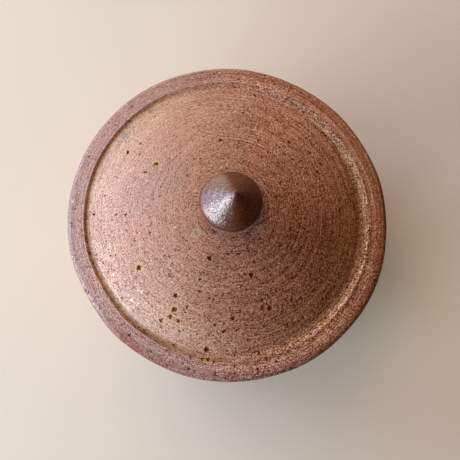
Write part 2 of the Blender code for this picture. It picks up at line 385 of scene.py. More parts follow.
for degrees, distance in BRIM_PULLS:
    heading = Vector((cos(radians(degrees)), sin(radians(degrees)), 0))
    edge = heading * LID_RADIUS + Vector((0, 0, CREASE_HEIGHT))
    by = heading * (distance * MM)
    pull(thrown_lid, lambda point: (point - edge).length < EDGE_GRIP, by, PULL_REACH)
reach = max(hypot(point.co.x, point.co.y) for point in thrown_lid.data.vertices)
print("the brim reaches", round(reach / MM, 2), "mm from the axis")

# %% [markdown]
# ## Pits
# Coarse grains burst out of the clay in the kiln, or drop out when the tool drags them, and leave pits.
# The largest are real hollows. The mesh is too coarse for them, so the faces round each are subdivided
# first, and its middle is then pushed in with proportional editing.
# The places are in millimetres on the lid, from its axis to the right and up, with the pit's width.
# Ash has filled some of them. The finish uses the same lists to colour the pits and the ash.

# %% Where the pits are
OPEN_PITS = (
    (-17.8, -27.5, 1.5), (-14, -31.3, 0.9), (-14.8, -32.9, 0.8), (-10.2, -26.4, 0.9),
    (-16.6, -38.6, 0.7), (-18.2, -43.1, 0.8), (-33, -39.6, 1), (-7.4, -44.4, 1.7), (-1.9, -38.8, 1.1),
    (-4.9, -36.8, 0.9), (8.9, 44.2, 0.9), (4.4, 35.8, 0.9), (15.9, 33.9, 0.9), (17.3, 33.3, 0.9),
    (21.8, 47.8, 0.9), (25.3, 46, 0.9), (26.2, 41.5, 0.8), (32.4, 39.7, 1), (25.9, 38.9, 0.9),
    (33.1, 31.2, 0.8), (33.6, 30.2, 0.7), (16.5, 22.8, 0.7), (29.5, 15.1, 1), (6.6, -21.1, 1.7),
    (-7, -16.2, 1.5), (0.8, -34.7, 1.4), (2.3, -38.4, 0.9), (12.9, -31.3, 1.6), (9.8, -45.2, 1),
    (9.5, -50.6, 1.1), (-4.6, -52.3, 1), (-13.3, -50.7, 1), (15.6, -48.1, 1), (1.8, -46, 0.9),
    (7.8, -21.2, 0.7), (11, -15.9, 0.8), (10.2, -31.1, 1.3), (18.9, -36.2, 0.9), (20.4, -35.2, 0.8),
    (27.7, -24.8, 0.7), (37.8, -22.7, 0.8), (32.1, -14, 0.8), (20.1, -28.8, 0.7), (14.6, 4.6, 0.9),
    (-5.7, -7.9, 0.8), (-39.5, -14, 0.8), (-37.8, -13.8, 0.6), (-34.8, -0.8, 0.7), (-34.7, 21.7, 1),
    (-28.3, 13.6, 0.8), (-3.7, 24.4, 1), (-10.4, 17.5, 0.6), (-45.6, 0.6, 0.8),
)
ASH_PITS = (
    (-19.6, -34, 1.3), (-17, -35.5, 1.2), (-18.2, -31.9, 1.4), (-22.6, -35.2, 1.1), (-10.1, -22.7, 0.9),
    (-30, -18.4, 1.5), (-24.8, 16.2, 1.3), (-7.1, -47.7, 1.2), (-9, -47.7, 0.8), (7.2, -17, 1.2),
    (13.2, -29.5, 0.8), (32.2, -33.5, 1), (12.1, -47.4, 1.2),
)

# %% Push the pits in
GEOMETRY_PIT_WIDTH = 0.85  # narrower pits are left to the finish
PIT_MARGIN = 0.4 * MM
PIT_SIZES = ((0.85, 1.15, 0.34 * MM), (1.15, 2.0, 0.48 * MM))  # from and to a width in mm, and the depth
PIT_SLOPE = 0.75  # of the reach: only a pit's middle is pushed, and its sides follow


def near_pits(pits, margin):
    """A test for points on the lid's upper side that lie in a pit, or up to the margin outside it."""
    places = [(x * MM, y * MM, width * MM / 2 + margin) for x, y, width in pits]

    def test(point):
        hits = (hypot(point.x - x, point.y - y) < radius for x, y, radius in places)
        return point.z >= MOAT_FLOOR - MM and any(hits)

    return test


wide_pits = [pit for pit in OPEN_PITS + ASH_PITS if pit[2] >= GEOMETRY_PIT_WIDTH]
pick(thrown_lid)
for part in (*thrown_lid.data.vertices, *thrown_lid.data.edges):
    part.select = False
near_a_pit = near_pits(wide_pits, PIT_MARGIN)
for face in thrown_lid.data.polygons:
    face.select = near_a_pit(face.center)
bpy.ops.object.mode_set(mode="EDIT")
bpy.ops.mesh.select_mode(type="FACE")
bpy.ops.mesh.subdivide(number_cuts=2)
bpy.ops.mesh.select_mode(type="VERT")
bpy.ops.object.mode_set(mode="OBJECT")
for narrowest, widest, depth in PIT_SIZES:
    these = [pit for pit in wide_pits if narrowest <= pit[2] < widest]
    reach = (narrowest + widest) / 4 * MM
    pull(thrown_lid, near_pits(these, -PIT_SLOPE * reach), (0, 0, -depth), reach)
print(len(wide_pits), "pits pushed in, and the lid now has", triangle_count(thrown_lid), "triangles")

# %% [markdown]
# ## The knob
# A knob is thrown off the hump, then stuck on with slip, which is wiped into a small fillet round its
# neck. Its point is a straight cone with a blunt tip. A rounded shoulder follows, which draws in to the
# neck. It is joined by tangents: the cone touches the tip's circle and the shoulder's circle.

# %% Outline of the knob
KNOB_RADIUS = KNOB_HIGH.x
KNOB_TIP = KNOB_HIGH.z
TIP_ROUNDING = 1.2 * MM
SHOULDER_HEIGHT = KNOB_LOW.z + 8.6 * MM
SHOULDER_ROUNDING = 3.3 * MM
NECK_RADIUS = 6.4 * MM
NECK_HEIGHT = KNOB_LOW.z + 2.8 * MM
NECK_ROUNDING = 2.4 * MM
SLIP_RADIUS = 7.4 * MM
SLIP_HEIGHT = 0.15 * MM
SLIP_SPREAD = 0.25 * MM
SUNK = 0.2 * MM  # how far the slip reaches into the lid, so that no gap shows
CONE_WAVE = 0.02 * MM
CONE_WAVES = 5
TIP_STEPS, SHOULDER_STEPS, NECK_STEPS = 14, 44, 16  # in a quarter turn
KNOB_TURN_STEPS = 360


def tangent_normal(centre_a, radius_a, centre_b, radius_b):
    """Angle of the normal of the line that touches two circles, the second from inside if negative."""
    across = Vector(centre_b) - Vector(centre_a)
    return atan2(across.y, across.x) + acos((radius_a - radius_b) / across.length)


def knob_outline():
    """From the tip down the cone, round the shoulder, into the neck and out over the slip."""
    tip = (0, KNOB_TIP - TIP_ROUNDING)
    shoulder = (KNOB_RADIUS - SHOULDER_ROUNDING, SHOULDER_HEIGHT)
    neck = (NECK_RADIUS + NECK_ROUNDING, NECK_HEIGHT)
    cone = tangent_normal(tip, TIP_ROUNDING, shoulder, SHOULDER_ROUNDING)
    underside = tangent_normal(shoulder, SHOULDER_ROUNDING, neck, -NECK_ROUNDING)
    cone_start = arc(tip, TIP_ROUNDING, pi / 2, cone, TIP_STEPS)
    shoulder_arc = arc(shoulder, SHOULDER_ROUNDING, cone, underside, SHOULDER_STEPS)
    cone_run = []
    for share in evenly(0, 1, 0.02)[1:-1]:
        wave = CONE_WAVE * sin(share * CONE_WAVES * tau)
        point = Vector(cone_start[-1]).lerp(Vector(shoulder_arc[0]), share)
        cone_run.append((point.x + wave * cos(cone), point.y + wave * sin(cone)))
    neck_arc = arc(neck, NECK_ROUNDING, underside + pi, pi + 0.5, NECK_STEPS)
    slip = [
        (SLIP_RADIUS, CROWN_HEIGHT + SLIP_HEIGHT),
        (SLIP_RADIUS + SLIP_SPREAD, CROWN_HEIGHT - SUNK),
        (0, CROWN_HEIGHT - SUNK),
    ]
    return [*cone_start, *cone_run, *shoulder_arc, *neck_arc, *slip]


turned_knob = turn_on_wheel(draw_outline("turned_knob", knob_outline()), KNOB_TURN_STEPS)

# %% [markdown]
# The knob was set on by eye. It stands over the middle of the dome, not of the brim, its tip leans a
# little to the right, and its shoulder is pinched out to the left, so that it is slightly oval.

# %% Lean of the knob
TIP_LEAN = (0.5 * MM, 0, 0)
TIP_LEAN_REACH = 9 * MM
SHOULDER_PULLS = ((-1, 0.65 * MM), (1, 0.15 * MM))  # to the left and to the right
SHOULDER_GRIP = 2 * MM
SHOULDER_REACH = 12 * MM

pull(turned_knob, lambda point: True, DOME_SHIFT, MM)
pull(turned_knob, lambda point: point.z > KNOB_TIP - TIP_ROUNDING, TIP_LEAN, TIP_LEAN_REACH)
for side, distance in SHOULDER_PULLS:
    shoulder = Vector((side * KNOB_RADIUS + DOME_SHIFT[0], DOME_SHIFT[1], SHOULDER_HEIGHT))
    by = (side * distance, 0, 0)
    pull(turned_knob, lambda point: (point - shoulder).length < SHOULDER_GRIP, by, SHOULDER_REACH)
print("the knob is", round(turned_knob.dimensions.x / MM, 2), "mm wide")

# %% [markdown]
# The glaze on the knob has pulled together in the kiln into the fine bumps of orange peel. They are
# real, about a tenth of a millimetre deep and pushed inwards, because they break up the shine.

# %% Orange peel on the knob
PEEL_DEPTH = 0.18 * MM
PEEL_SIZE = 0.50 * MM

orange_peel = bpy.data.textures.new("orange_peel", "CLOUDS")
orange_peel.noise_scale = PEEL_SIZE
orange_peel.noise_depth = 1
peel = turned_knob.modifiers.new("peel", "DISPLACE")
peel.texture = orange_peel
peel.strength = PEEL_DEPTH
peel.mid_level = 1.0
pick(turned_knob)
bpy.ops.object.modifier_apply(modifier=peel.name)
print("the knob is", round(turned_knob.dimensions.z / MM, 2), "mm high")

# %% [markdown]
# ## The pot
# The pot is thrown too. The thrower's fingers leave rings up its inside and faint waves on its outside.
# A trimming tool cuts the foot ring, the ledge over it and the hollow in it.

# %% Outline of the pot
MOUTH_RADIUS = 40.5 * MM
RIM_RADIUS = 45.5 * MM
BELLY_RADIUS = POT_HIGH.x
BELLY_HEIGHT = 29.5 * MM
POT_WALL = 4.8 * MM
FLOOR_TOP = 8.4 * MM
FLOOR_ROUNDING = 9.0 * MM
FOOT_RADIUS = 35.5 * MM
FOOT_INNER_RADIUS = 30.9 * MM
FOOT_HEIGHT = 3.4 * MM
BASE_RADIUS = 36.7 * MM
RECESS_DEPTH = 2.6 * MM
THROAT_BOTTOM = POT_HIGH.z - 10.5 * MM
THROAT_LENGTH = 7.0 * MM
FINGER_PITCH = 5.8 * MM
FINGER_DEPTH = 0.5 * MM
FLOOR_WAVE, OUTSIDE_WAVE, RECESS_WAVE = 0.2 * MM, 0.16 * MM, 0.12 * MM
MOUTH_ROUNDING = 1.0 * MM
RIM_ROUNDING = 1.8 * MM
LEDGE_ROUNDING = 0.3 * MM
FOOT_EDGE = 0.7 * MM
RECESS_ROUNDING = 1.6 * MM
POT_STEP = 0.9 * MM
POT_TURN_STEPS = 360


def smooth_step(amount):
    amount = min(max(amount, 0.0), 1.0)
    return amount * amount * (3 - 2 * amount)


def pot_outside(height):
    """A quarter sine out to the belly, then a quarter cosine in to the rim."""
    if height < BELLY_HEIGHT:
        rise = (height - FOOT_HEIGHT) / (BELLY_HEIGHT - FOOT_HEIGHT)
        return BASE_RADIUS + (BELLY_RADIUS - BASE_RADIUS) * sin(rise * pi / 2)
    rise = (height - BELLY_HEIGHT) / (POT_HIGH.z - BELLY_HEIGHT)
    return BELLY_RADIUS - (BELLY_RADIUS - RIM_RADIUS) * (1 - cos(rise * pi / 2))


def finger_wave(height, depth, phase=0.0):
    """The rings of the thrower's fingers, never out past the plain wall."""
    return depth * (1 - cos(tau * height / FINGER_PITCH + phase)) / 2


def pot_inside(height):
    """The outside less the wall, and a straight throat for the lid's flange."""
    in_throat = smooth_step(1 - (THROAT_BOTTOM - height) / THROAT_LENGTH)
    wall = (pot_outside(height) - POT_WALL) * (1 - in_throat) + MOUTH_RADIUS * in_throat
    return wall + finger_wave(height, FINGER_DEPTH) * (1 - in_throat)


def pot_outline():
    """From the floor's middle up the inside, over the rim, down the outside and under the foot."""
    wall_start = FLOOR_TOP + FLOOR_ROUNDING
    floor_edge = pot_inside(FLOOR_TOP + 0.35 * FLOOR_ROUNDING)
    inside_heights = evenly(wall_start, POT_HIGH.z - 2 * MM, POT_STEP)
    outside_heights = evenly(POT_HIGH.z - 3.6 * MM, FOOT_HEIGHT + 0.6 * MM, POT_STEP)
    floor_radii = evenly(2 * MM, floor_edge - 14 * MM, MM)
    recess_radii = evenly(27 * MM, 2 * MM, MM)
    corners = [
        (0, FLOOR_TOP),
        *[(r, FLOOR_TOP + finger_wave(r, FLOOR_WAVE)) for r in floor_radii],
        (floor_edge, FLOOR_TOP, FLOOR_ROUNDING),
        *[(pot_inside(z), z) for z in inside_heights],
        (MOUTH_RADIUS, POT_HIGH.z, MOUTH_ROUNDING),
        (RIM_RADIUS, POT_HIGH.z, RIM_ROUNDING),
        *[(pot_outside(z) - finger_wave(z, OUTSIDE_WAVE, 1.0), z) for z in outside_heights],
        (BASE_RADIUS, FOOT_HEIGHT, LEDGE_ROUNDING),
        (FOOT_RADIUS, FOOT_HEIGHT - FOOT_EDGE, FOOT_EDGE),
        (FOOT_RADIUS, 0, FOOT_EDGE),
        (FOOT_INNER_RADIUS, 0, FOOT_EDGE),
        (FOOT_INNER_RADIUS, RECESS_DEPTH, RECESS_ROUNDING),
        *[(r, RECESS_DEPTH - finger_wave(r, RECESS_WAVE)) for r in recess_radii],
        (0, RECESS_DEPTH),
    ]
    return rounded(corners)


thrown_pot = turn_on_wheel(draw_outline("thrown_pot", pot_outline()), POT_TURN_STEPS)

# %% [markdown]
# ## Shader maths
# A material here is a long sum of masks. Written as nodes by hand it would fill pages, so a number in a
# shader is wrapped in a small class, and Python's own operators on it add the Math nodes. A second class
# holds one material and makes its other nodes.

# %% Numbers in a shader
def operator(operation, reflected=False):
    """A method that adds a Math node, with its two numbers as they stand or swapped."""

    def method(self, other):
        return self.finish.maths(operation, *((other, self) if reflected else (self, other)))

    return method


class Number:
    """One number that varies over a surface. Operators on it add Math nodes."""

    def __init__(self, finish, socket):
        self.finish = finish
        self.socket = socket

    __add__, __radd__ = operator("ADD"), operator("ADD", True)
    __sub__, __rsub__ = operator("SUBTRACT"), operator("SUBTRACT", True)
    __mul__, __rmul__ = operator("MULTIPLY"), operator("MULTIPLY", True)
    __truediv__, __rtruediv__ = operator("DIVIDE"), operator("DIVIDE", True)
    __pow__ = operator("POWER")


# %% A finish
RAGGED_SIZE = 0.7  # lumps that make the edge of a spot ragged, in millimetres
RAGGED_REACH = 1.6


class Finish:
    """A material made in Python. Its patterns are given in millimetres on the piece."""

    def __init__(self, name):
        self.material = bpy.data.materials.new(name)
        self.material.use_nodes = True
        self.tree = self.material.node_tree
        self.shader = self.tree.nodes["Principled BSDF"]
        coordinates = self.node("ShaderNodeTexCoord").outputs
        self.place = self.vector_maths("MULTIPLY", coordinates["Object"], (1 / MM,) * 3)[0]
        self.x, self.y, self.z = self.parts(self.place)
        self.radius = (self.x * self.x + self.y * self.y) ** 0.5
        self.upper = self.fade(self.parts(coordinates["Normal"])[2], 0.1, 0.3)
        ripple = {"Vector": self.place, "Scale": 1 / RAGGED_SIZE, "Detail": 1.0}
        ripple = self.node("ShaderNodeTexNoise", {}, ripple).outputs["Color"]
        self.ragged = self.vector_maths("MULTIPLY_ADD", ripple, (RAGGED_REACH,) * 3, self.place)[0]

    def parts(self, vector):
        axes = self.node("ShaderNodeSeparateXYZ", {}, {0: vector}).outputs
        return [Number(self, axis) for axis in axes]

    def node(self, kind, settings=None, inputs=None):
        """Any node: its settings are set first, then its sockets are filled or linked."""
        made = self.tree.nodes.new(kind)
        for name, value in (settings or {}).items():
            setattr(made, name, value)
        for name, value in (inputs or {}).items():
            value = getattr(value, "socket", value)
            if isinstance(value, bpy.types.NodeSocket):
                self.tree.links.new(value, made.inputs[name])
            else:
                made.inputs[name].default_value = value
        return made

    def maths(self, operation, *values):
        inputs = dict(enumerate(values))
        return Number(self, self.node("ShaderNodeMath", {"operation": operation}, inputs).outputs[0])

    def vector_maths(self, operation, *values):
        inputs = dict(enumerate(values))
        return self.node("ShaderNodeVectorMath", {"operation": operation}, inputs).outputs

    def fade(self, value, start, end):
        """0 where the value is at start, 1 where it is at end, with a soft way between."""
        inputs = {"Value": value, "From Min": start, "From Max": end}
        soft = self.node("ShaderNodeMapRange", {"interpolation_type": "SMOOTHSTEP"}, inputs)
        return Number(self, soft.outputs["Result"])

    def band(self, value, start, full_from, full_to, end):
        """1 in a band and 0 outside it, with a soft way at both its edges."""
        return self.fade(value, start, full_from) * self.fade(value, end, full_to)

    def noise(self, size, detail=2.0, roughness=0.5, place=None):
        """Cloudy noise from -1 to 1, mostly within 0.4, in lumps of about a size in millimetres."""
        inputs = {"Vector": place or self.place, "Scale": 1 / size, "Detail": detail}
        inputs["Roughness"] = roughness
        return Number(self, self.node("ShaderNodeTexNoise", {}, inputs).outputs[0]) * 2 - 1

    def drawn_noise(self, length, width, detail):
        """Noise drawn out, with lumps that are so long round the wheel and so wide across it."""
        profile = (self.radius - self.z) * (1 / width)
        inputs = {0: self.x * (1 / length), 1: self.y * (1 / length), 2: profile}
        return self.noise(1, detail, 0.6, self.node("ShaderNodeCombineXYZ", {}, inputs).outputs[0])

    def cells(self, size, place):
        """Grains side by side: the distance from a grain's middle, and two numbers of its own."""
        inputs = {"Vector": place, "Scale": 1 / size}
        grains = self.node("ShaderNodeTexVoronoi", {"feature": "F1"}, inputs)
        chance = self.node("ShaderNodeSeparateColor", {}, {0: grains.outputs["Color"]}).outputs
        return Number(self, grains.outputs["Distance"]), Number(self, chance[0]), Number(self, chance[1])

    def scattered(self, spacing, share, radius, offset=(0, 0, 0)):
        """1 on ragged spots of up to a radius, in a share of the places that lie a spacing apart."""
        shifted = self.vector_maths("ADD", self.ragged, offset)[0]
        distance, chance, size = self.cells(spacing, shifted)
        reach = (size * 0.6 + 0.4) * (radius / spacing)
        return self.fade(distance / reach, 1.15, 0.8) * self.fade(chance, share, share - 0.01)

    def distance_to(self, marks):
        """How far the nearest of the (x, y, width) marks is, in its own radii, so that 1 is its edge."""
        flat = self.vector_maths("MULTIPLY", self.ragged, (1, 1, 0))[0]
        half_reach = RAGGED_REACH / 2
        nearest = None
        for x, y, width in marks:
            away = self.vector_maths("DISTANCE", flat, (x + half_reach, y + half_reach, 0))["Value"]
            away = Number(self, away) * (2 / width)
            nearest = self.maths("MINIMUM", nearest, away) if nearest else away
        return nearest

    def mix(self, share, under, over, blend="MIX"):
        """One colour over another."""
        settings = {"data_type": "RGBA", "blend_type": blend, "clamp_factor": True}
        under, over = [(*colour, 1) if isinstance(colour, tuple) else colour for colour in (under, over)]
        return self.node("ShaderNodeMix", settings, {0: share, 6: under, 7: over}).outputs[2]

    def layered(self, colour, *layers):
        """The colour under layers, each of them a share and a colour."""
        for share, over in layers:
            colour = self.mix(share, colour, over)
        return colour

    def stained(self, tone, strengths):
        """A colour to multiply by, whose red, green and blue follow the tone by a strength each."""
        parts = {i: self.maths("EXPONENT", tone * strength) for i, strength in enumerate(strengths)}
        return self.node("ShaderNodeCombineColor", {}, parts).outputs[0]

    def dress(self, piece):
        piece.data.materials.clear()
        piece.data.materials.append(self.material)
        print(self.material.name, "has", len(self.tree.nodes), "nodes")


# %% [markdown]
# ## Stoneware
# The clay is coarse and full of iron. Seen close, it is pepper and salt: dark and pale grains of a third
# of a millimetre, smeared a little way round by the turning tool, with fine black pits and white flecks
# of feldspar between them. The pot and the lid share this body, so it is one function. It multiplies
# whatever colour the piece has there, and gives back a relief in millimetres as well, because grains
# that stand up or drop out catch a low light.

# %% Grain of the clay
IRON_STAIN = (1.0, 1.55, 2.1)  # dark grains are full of iron, so they lose blue first and red last
PIT_DARK = (0.050, 0.016, 0.005)
PIT_RED = (0.100, 0.020, 0.006)
FELDSPAR = (0.62, 0.50, 0.40)
COAT_INDEX = 2.0


def grained(clay, colour, strength=1.0, lines=0.0, evenness=0.0, pitted=0.3):
    """The colour with its grain, the relief in millimetres, and how much of the sheen is left on it."""
    worms = clay.drawn_noise(0.48, 0.40, 1.5)
    drag = clay.drawn_noise(2.2, 0.45, 2.5)
    streaks = clay.drawn_noise(16, 0.7, 2)
    grain_value = clay.cells(0.36, clay.place)[1] * 2 - 1
    tone = worms * 3.6 + drag * 1.2 + streaks * 1.0 + grain_value * 0.5
    tone = tone * clay.maths("ABSOLUTE", tone) * strength + lines
    brightest = clay.maths("MINIMUM", tone, 0.85 - evenness * 1.1)
    colour = clay.mix(1.0, colour, clay.stained(brightest, IRON_STAIN), "MULTIPLY")
    fine_pits = clay.scattered(1.25, pitted, 0.36)
    wide_pits = clay.scattered(3.6, pitted, 0.60, (5.0, 2.0, 8.0))
    flecks = clay.scattered(1.9, 0.26, 0.34, (1.0, 7.0, 3.0))
    pits = clay.maths("MAXIMUM", fine_pits * 0.85, wide_pits)
    colour = clay.layered(colour, (pits * (0.92 - evenness * 0.7), PIT_DARK), (flecks * 0.6, FELDSPAR))
    relief = worms * 0.12 + drag * 0.10 + streaks * 0.05 - pits * 0.22 + flecks * 0.04
    sheen = clay.fade(tone, -0.55, 0.25) * (1 - evenness) + evenness * 0.69
    return colour, relief, clay.maths("MAXIMUM", sheen - pits, 0.0)


def finish_surface(clay, colour, relief, sheen, coat_roughness, gloss=0.0, roughness=0.7):
    """Feeds the shader. The relief is in millimetres, and the sheen that the kiln left is a coat."""
    bump = clay.node("ShaderNodeBump", {}, {"Height": relief, "Distance": MM, "Strength": 1.0})
    inputs = clay.shader.inputs
    clay.tree.links.new(bump.outputs[0], inputs["Normal"])
    clay.tree.links.new(colour, inputs["Base Color"])
    clay.tree.links.new(sheen.socket, inputs["Coat Weight"])
    inputs["Specular IOR Level"].default_value = gloss
    inputs["Roughness"].default_value = roughness
    inputs["Coat Roughness"].default_value = coat_roughness
    inputs["Coat IOR"].default_value = COAT_INDEX


# %% [markdown]
# ## The lid's finish
# The lid's sides are painted apart. To the left the clay is painted pale and rosy, which is painted
# light where the low daylight falls, and in front and to the right it is painted darker, which is
# painted shade.
# Each of these is a mask made from the place on the lid, so that it stays editable: a band between two
# circles, or a side of the lid. What belongs to the upper side fades out where the surface faces down.

# %% Where the lid's parts lie
# Each band's start, where it is full from and to, and its end, in mm from the axis.
DOME_FOOT_BAND = (33, 43, 48.2, 48.9)
SHADED_FOOT_BAND = (42.5, 44.5, 46.0, 47.0)
MOAT_BAND = (46.6, 47.3, 48.4, 48.8)
CREASE_BAND = (48.40, 48.65, 48.80, 49.05)


def lid_zones(clay):
    """Masks and clouds that the steps of the lid's finish share."""
    at = SimpleNamespace()
    at.broad = clay.noise(15, 2)
    at.patches = clay.noise(4.5, 3, 0.6)
    at.ragged_ash = at.patches * 1.2 + clay.noise(1.0, 2) * 1.2
    at.left = clay.fade(clay.x, 15, -25)
    at.right = clay.fade(clay.x, 0, 35)
    at.foot = clay.band(clay.radius, *DOME_FOOT_BAND) * clay.upper
    at.ring = clay.fade(clay.radius, 48.6, 49.2)
    # Painted shade: the brim's edge, except on the upper left, which faces the light.
    at.edge = clay.fade(clay.radius, 50.5, 54.0) * clay.fade(clay.y - clay.x * 0.5, 52, 32)
    # Where the brim's edge is painted lilac as a painted reflection of the cool daylight: the far left,
    # and a little in front.
    at.lilac = clay.maths("MAXIMUM", clay.fade(clay.x, -30, -48), clay.fade(clay.y, -42, -52) * 0.4)
    return at


# %% Colour of the lid's clay
CLAY = (0.285, 0.100, 0.050)
# Painted light: the paler, rosier clay of the lit side.
PAINTED_LIGHT_CLAY = (0.305, 0.122, 0.068)
# Painted shade: the darker clay of the shaded side.
PAINTED_SHADE_CLAY = (0.235, 0.074, 0.033)
RING_CLAY = (0.300, 0.113, 0.059)
# A painted reflection of the cool daylight on the ring's left.
PAINTED_REFLECTION_MAUVE = (0.262, 0.128, 0.098)


def lid_clay(clay, at):
    """The clay's colour, with painted light on the left and painted shade in front and on the right. It
    is a little darker round the crown, which is painted shade.
    """
    # Painted light: paler, rosier clay on the lit left, and a little on the upper right.
    painted_light_side = clay.maths("MAXIMUM", at.left, at.right * clay.fade(clay.y, 0, 15) * 0.7)
    # Painted shade: darker clay in front and on the shaded right.
    in_front = clay.fade(clay.maths("ABSOLUTE", clay.x - 3), 24, 4) * clay.fade(clay.y, 4, -12)
    painted_shade_side = clay.maths("MAXIMUM", in_front * 0.45, at.right * clay.fade(clay.y, 22, -12))
    # The ring's own clay, with its left painted mauve as a painted reflection of the cool daylight.
    ring_clay_and_reflection = clay.mix(at.left, RING_CLAY, PAINTED_REFLECTION_MAUVE)
    colour = clay.layered(CLAY, (painted_light_side, PAINTED_LIGHT_CLAY), (painted_shade_side, PAINTED_SHADE_CLAY), (at.ring, ring_clay_and_reflection))
    # Painted shade: the clay is painted darker round the crown, less so beside the knob on the right.
    beside_knob = clay.fade(clay.x, -2, 12) * clay.fade(clay.y, -8, 4)
    painted_crown_shade = 1 - clay.fade(clay.radius, 38, 16) * (0.17 - beside_knob * 0.15)
    clouds = at.broad * 0.2 + at.patches * 0.12 + 1
    return clay.mix(1.0, colour, clouds * painted_crown_shade, "MULTIPLY")


# %% [markdown]
# Ash has settled round the dome's foot and in the moat, tan to the left and olive to the right, and left
# a few grey smudges. On the right the foot has painted shade, the moat's floor is painted pale as
# painted light, and a thin dark line of painted shade holds the crease. The brim's edge is painted brown
# as painted shade on the right, and lilac on the left and in front as a painted reflection of the cool
# daylight.

# %% Ash in the moat, painted shade and light beside it, and the brim's edge
# The first three colours below are painted: shade, a painted reflection of the cool daylight, and
# painted light.
PAINTED_DEEP_SHADE_CLAY = (0.140, 0.042, 0.018)
PAINTED_REFLECTION_LILAC = (0.200, 0.115, 0.105)
PAINTED_LIGHT_PINK = (0.350, 0.165, 0.088)
ASH = (0.365, 0.205, 0.120)
OLIVE_ASH = (0.240, 0.105, 0.033)
PALE_ASH = (0.360, 0.215, 0.125)
GREY_ASH = (0.145, 0.095, 0.062)
SMUDGES = (
    (-36, 28.6, 4.4), (-38.6, 25.4, 3.4), (-33.6, 31.6, 3), (-26.4, 38.4, 3.4), (-38.6, -28.6, 2),
    (-41, -9.2, 1.6), (-32.4, -10.7, 1.4), (-43.3, -15, 2),
)
MOAT_ASH = (
    (33.7, 32.6, 5), (36.4, 28.6, 5), (30, 37, 4), (39.5, 24, 3.6), (24, 42, 3.6),
)


def lid_ash(clay, at, colour):
    """The clay's colour under the ash, with painted shade and painted light beside the moat, and the
    brim's edge in painted shade and a painted reflection.
    """
    ash = at.foot * clay.fade(at.patches + at.broad * 0.6, -0.8, 0.4)
    # Painted shade on the right of the dome's foot, and a thin line of painted shade in the crease on
    # the right.
    shaded_foot = clay.band(clay.radius, *SHADED_FOOT_BAND) * at.right * clay.upper
    crease = clay.band(clay.radius, *CREASE_BAND) * at.right * clay.upper
    # Painted light: the moat's floor on the right, below the wall that faces the light, is painted pale
    # pink.
    further_out = clay.radius + clay.fade(clay.y, 5, 28) * 1.2
    painted_lit_moat_floor = clay.band(further_out, *MOAT_BAND) * at.right * clay.upper
    moat_ash = clay.fade(clay.distance_to(MOAT_ASH) + at.ragged_ash, 1.2, 0.2) * at.foot
    smudge = clay.fade(clay.distance_to(SMUDGES) + at.ragged_ash * 0.6, 1.2, 0.3) * clay.upper
    # Painted light: the ring's upper right is painted paler pink.
    painted_lit_corner = at.ring * at.right * clay.fade(clay.y, 0, 30)
    return clay.layered(
        colour,
        (ash * at.left * 0.75, ASH),
        (ash * at.right * clay.fade(clay.y, 40, 15) * 0.7, OLIVE_ASH),
        (shaded_foot * 0.4, PAINTED_DEEP_SHADE_CLAY),
        (crease * 0.5, PAINTED_DEEP_SHADE_CLAY),
        (painted_lit_moat_floor * 0.45, PAINTED_LIGHT_PINK),
        (moat_ash * 0.3, PALE_ASH),
        (smudge * (1 - at.ring) * 0.7, GREY_ASH),
        # Painted shade in brown on the brim's edge, and a painted reflection in lilac on the left and in
        # front.
        (at.edge * 0.75, clay.mix(at.lilac, PAINTED_DEEP_SHADE_CLAY, PAINTED_REFLECTION_LILAC)),
        (painted_lit_corner * 0.4, PAINTED_LIGHT_PINK),
    )


# %% [markdown]
# The grain is coarsest in front and most even on the left, where the clay has a soft sheen. The turning
# lines are the same noise drawn out very long round the wheel, and show most on the right.

# %% Grain and turning lines of the lid
def lid_grain(clay, at, colour):
    """The lid's colour with its grain, its relief and its sheen."""
    coarse = clay.fade(clay.y, 15, -25) * (at.ring * 0.35 + 0.2) * (1 - at.ring * at.left * 0.7)
    lines = clay.drawn_noise(90, 0.36, 1)
    lines = lines * (at.ring * 0.25 + clay.fade(clay.x, -15, 30) * 0.6 + 0.1)
    strength = 0.70 + coarse + at.right * 0.1 - at.left * 0.4 - at.ring * (at.right * 0.4 + 0.05)
    evenness = at.left * (0.45 - at.ring * 0.2)
    pitted = clay.fade(clay.y, 10, -35) * 0.35 + 0.22
    colour, relief, sheen = grained(clay, colour, strength, lines, evenness, pitted)
    relief = relief * (1 - at.ring * 0.3) + lines * 0.08
    sheen = sheen * (1 - at.edge * (0.8 - at.lilac * 0.5)) * (1 - at.right * 0.5)
    return colour, relief, sheen * (1 - at.ring * 0.15)


# %% [markdown]
# Last come the marks that can be told apart: the pits that were pushed in above, ash that has filled
# some of them and left a yellow halo, pale green blooms of melted ash, and single grains of feldspar.

# %% Marks on the lid
YELLOW_ASH = (0.370, 0.220, 0.090)
OCHRE = (0.130, 0.042, 0.006)
GREEN_ASH = (0.370, 0.270, 0.150)
BLOOM_ASH = (0.190, 0.110, 0.052)
PALE_GRAINS = (
    (-16.3, -28.5, 0.9), (-25.7, -19.6, 0.8), (-19.1, -23.3, 0.8), (-11.8, 6.1, 0.9), (-53.1, 5.1, 0.7),
    (-0.2, 14.5, 0.7), (-32.3, -28.5, 1.6), (-30.3, -29.6, 1.3), (-6, -44, 0.6), (10.6, -25.9, 0.6),
    (10.9, -42.6, 0.8), (8.4, -26.9, 0.6), (-2.4, -23.6, 0.6), (14.8, -28.3, 0.7), (13.4, -12.8, 0.6),
    (23.5, -12.6, 0.6), (27.5, 38.8, 1.2), (-43.6, 11.6, 0.9), (-38.4, -19.9, 1.3), (-28.9, -25.9, 0.9),
)
BLOOMS = (
    (-11.4, -8.1, 2.4), (9.5, -6.7, 1.8), (-36.3, -30.2, 2.4), (2.6, 20.2, 1.6), (-30.9, -1, 1.3),
    (-42.3, 9.6, 1.4),
)


